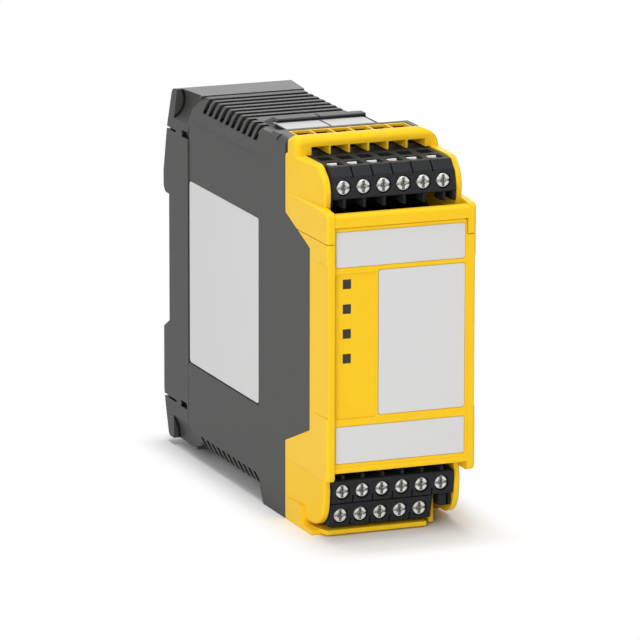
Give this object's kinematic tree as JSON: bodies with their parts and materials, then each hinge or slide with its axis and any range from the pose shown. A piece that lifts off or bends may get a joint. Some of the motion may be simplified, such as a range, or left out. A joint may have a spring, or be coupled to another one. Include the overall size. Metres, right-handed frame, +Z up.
{
  "type": "safety controller",
  "caption": "Rail-mounted safety controller: ventilated grey case, yellow hood and front cover with bare label fields, status lights, plug-in screw terminals and sprung rail latch.",
  "frame": {"origin": "under the middle of the module, on the surface it stands on", "axes": "+X to the right seen from the front, +Y from the front to the rail, +Z up"},
  "size_m": [0.045, 0.1314, 0.1117],
  "materials": {
    "grey_case_plastic": "fine moulded texture",
    "black_latch_plastic": "satin",
    "spring_steel": "bright",
    "yellow_cover_plastic": "fine moulded texture",
    "label_film": "satin film",
    "white_marker_plastic": "satin",
    "smoked_clear_plastic": "clear",
    "led_resin": "clear",
    "circuit_board": "solder resist",
    "black_terminal_plastic": "satin",
    "plated_clamp_steel": "zinc plated",
    "black_header_plastic": "satin",
    "tinned_brass": "tinned",
    "relay_cover_plastic": "satin",
    "chip_resin": "matte",
    "capacitor_can": "bright",
    "zinc_plated_steel": "zinc plated"
  },
  "bodies": {
    "housing": {"main_case": "grey_case_plastic", "rear_base": "grey_case_plastic", "latch_spring": "spring_steel", "terminal_hood": "yellow_cover_plastic", "front_cover": "yellow_cover_plastic", "upper_label": "label_film", "info_label": "label_film", "lower_label": "label_film", "side_label": "label_film", "top_label_left": "white_marker_plastic", "top_label_right": "white_marker_plastic", "light_guide": "smoked_clear_plastic", "status_leds": "led_resin", "display_board": "circuit_board", "top_header": "black_header_plastic", "bottom_header": "black_header_plastic", "lowest_header": "black_header_plastic", "top_pins": "tinned_brass", "bottom_pins": "tinned_brass", "lowest_pins": "tinned_brass", "top_terminal_board": "circuit_board", "bottom_terminal_board": "circuit_board", "logic_board": "circuit_board", "relay_board": "circuit_board", "safety_relay_1": "relay_cover_plastic", "safety_relay_2": "relay_cover_plastic", "safety_relay_3": "relay_cover_plastic", "controller_chip_1": "chip_resin", "controller_chip_2": "chip_resin", "supply_capacitor": "capacitor_can", "top_board_link": "black_header_plastic", "bottom_board_link": "black_header_plastic", "relay_board_link": "black_header_plastic", "display_link": "black_header_plastic"},
    "top_plug": {"top_terminal_block": "black_terminal_plastic", "top_clamps": "plated_clamp_steel"},
    "top_screw_1": {"top_screw_1": "zinc_plated_steel"},
    "top_screw_2": {"top_screw_2": "zinc_plated_steel"},
    "top_screw_3": {"top_screw_3": "zinc_plated_steel"},
    "top_screw_4": {"top_screw_4": "zinc_plated_steel"},
    "top_screw_5": {"top_screw_5": "zinc_plated_steel"},
    "top_screw_6": {"top_screw_6": "zinc_plated_steel"},
    "bottom_plug": {"bottom_terminal_block": "black_terminal_plastic", "bottom_clamps": "plated_clamp_steel"},
    "bottom_screw_1": {"bottom_screw_1": "zinc_plated_steel"},
    "bottom_screw_2": {"bottom_screw_2": "zinc_plated_steel"},
    "bottom_screw_3": {"bottom_screw_3": "zinc_plated_steel"},
    "bottom_screw_4": {"bottom_screw_4": "zinc_plated_steel"},
    "bottom_screw_5": {"bottom_screw_5": "zinc_plated_steel"},
    "bottom_screw_6": {"bottom_screw_6": "zinc_plated_steel"},
    "lowest_plug": {"lowest_terminal_block": "black_terminal_plastic", "lowest_clamps": "plated_clamp_steel"},
    "lowest_screw_1": {"lowest_screw_1": "zinc_plated_steel"},
    "lowest_screw_2": {"lowest_screw_2": "zinc_plated_steel"},
    "lowest_screw_3": {"lowest_screw_3": "zinc_plated_steel"},
    "lowest_screw_4": {"lowest_screw_4": "zinc_plated_steel"},
    "lowest_screw_5": {"lowest_screw_5": "zinc_plated_steel"},
    "latch": {"rail_latch": "black_latch_plastic"}
  },
  "joints": [
    {"name": "top_plug_pull", "type": "slide", "parent": "housing", "child": "top_plug", "axis": [0, -1, 0], "range_m": [0, 0.009]},
    {"name": "top_screw_1_turn", "type": "hinge", "parent": "top_plug", "child": "top_screw_1", "pos_m": [-0.015, -0.0567, 0.1004], "axis": [0, 1, 0], "range_deg": [-810, 0]},
    {"name": "top_screw_2_turn", "type": "hinge", "parent": "top_plug", "child": "top_screw_2", "pos_m": [-0.009, -0.0567, 0.1004], "axis": [0, 1, 0], "range_deg": [-810, 0]},
    {"name": "top_screw_3_turn", "type": "hinge", "parent": "top_plug", "child": "top_screw_3", "pos_m": [-0.003, -0.0567, 0.1004], "axis": [0, 1, 0], "range_deg": [-810, 0]},
    {"name": "top_screw_4_turn", "type": "hinge", "parent": "top_plug", "child": "top_screw_4", "pos_m": [0.003, -0.0567, 0.1004], "axis": [0, 1, 0], "range_deg": [-810, 0]},
    {"name": "top_screw_5_turn", "type": "hinge", "parent": "top_plug", "child": "top_screw_5", "pos_m": [0.009, -0.0567, 0.1004], "axis": [0, 1, 0], "range_deg": [-810, 0]},
    {"name": "top_screw_6_turn", "type": "hinge", "parent": "top_plug", "child": "top_screw_6", "pos_m": [0.015, -0.0567, 0.1004], "axis": [0, 1, 0], "range_deg": [-810, 0]},
    {"name": "bottom_plug_pull", "type": "slide", "parent": "housing", "child": "bottom_plug", "axis": [0, -1, 0], "range_m": [0, 0.009]},
    {"name": "bottom_screw_1_turn", "type": "hinge", "parent": "bottom_plug", "child": "bottom_screw_1", "pos_m": [-0.015, -0.0567, 0.0131], "axis": [0, 1, 0], "range_deg": [-810, 0]},
    {"name": "bottom_screw_2_turn", "type": "hinge", "parent": "bottom_plug", "child": "bottom_screw_2", "pos_m": [-0.009, -0.0567, 0.0131], "axis": [0, 1, 0], "range_deg": [-810, 0]},
    {"name": "bottom_screw_3_turn", "type": "hinge", "parent": "bottom_plug", "child": "bottom_screw_3", "pos_m": [-0.003, -0.0567, 0.0131], "axis": [0, 1, 0], "range_deg": [-810, 0]},
    {"name": "bottom_screw_4_turn", "type": "hinge", "parent": "bottom_plug", "child": "bottom_screw_4", "pos_m": [0.003, -0.0567, 0.0131], "axis": [0, 1, 0], "range_deg": [-810, 0]},
    {"name": "bottom_screw_5_turn", "type": "hinge", "parent": "bottom_plug", "child": "bottom_screw_5", "pos_m": [0.009, -0.0567, 0.0131], "axis": [0, 1, 0], "range_deg": [-810, 0]},
    {"name": "bottom_screw_6_turn", "type": "hinge", "parent": "bottom_plug", "child": "bottom_screw_6", "pos_m": [0.015, -0.0567, 0.0131], "axis": [0, 1, 0], "range_deg": [-810, 0]},
    {"name": "lowest_plug_pull", "type": "slide", "parent": "housing", "child": "lowest_plug", "axis": [0, -1, 0], "range_m": [0, 0.009]},
    {"name": "lowest_screw_1_turn", "type": "hinge", "parent": "lowest_plug", "child": "lowest_screw_1", "pos_m": [-0.015, -0.0567, 0.0059], "axis": [0, 1, 0], "range_deg": [-810, 0]},
    {"name": "lowest_screw_2_turn", "type": "hinge", "parent": "lowest_plug", "child": "lowest_screw_2", "pos_m": [-0.009, -0.0567, 0.0059], "axis": [0, 1, 0], "range_deg": [-810, 0]},
    {"name": "lowest_screw_3_turn", "type": "hinge", "parent": "lowest_plug", "child": "lowest_screw_3", "pos_m": [-0.003, -0.0567, 0.0059], "axis": [0, 1, 0], "range_deg": [-810, 0]},
    {"name": "lowest_screw_4_turn", "type": "hinge", "parent": "lowest_plug", "child": "lowest_screw_4", "pos_m": [0.003, -0.0567, 0.0059], "axis": [0, 1, 0], "range_deg": [-810, 0]},
    {"name": "lowest_screw_5_turn", "type": "hinge", "parent": "lowest_plug", "child": "lowest_screw_5", "pos_m": [0.009, -0.0567, 0.0059], "axis": [0, 1, 0], "range_deg": [-810, 0]},
    {"name": "latch_slide", "type": "slide", "parent": "housing", "child": "latch", "axis": [0, 0, -1], "range_m": [0, 0.003], "stiffness_N_per_m": 1500, "springref_m": -0.001, "deforming": ["latch_spring"]}
  ]
}
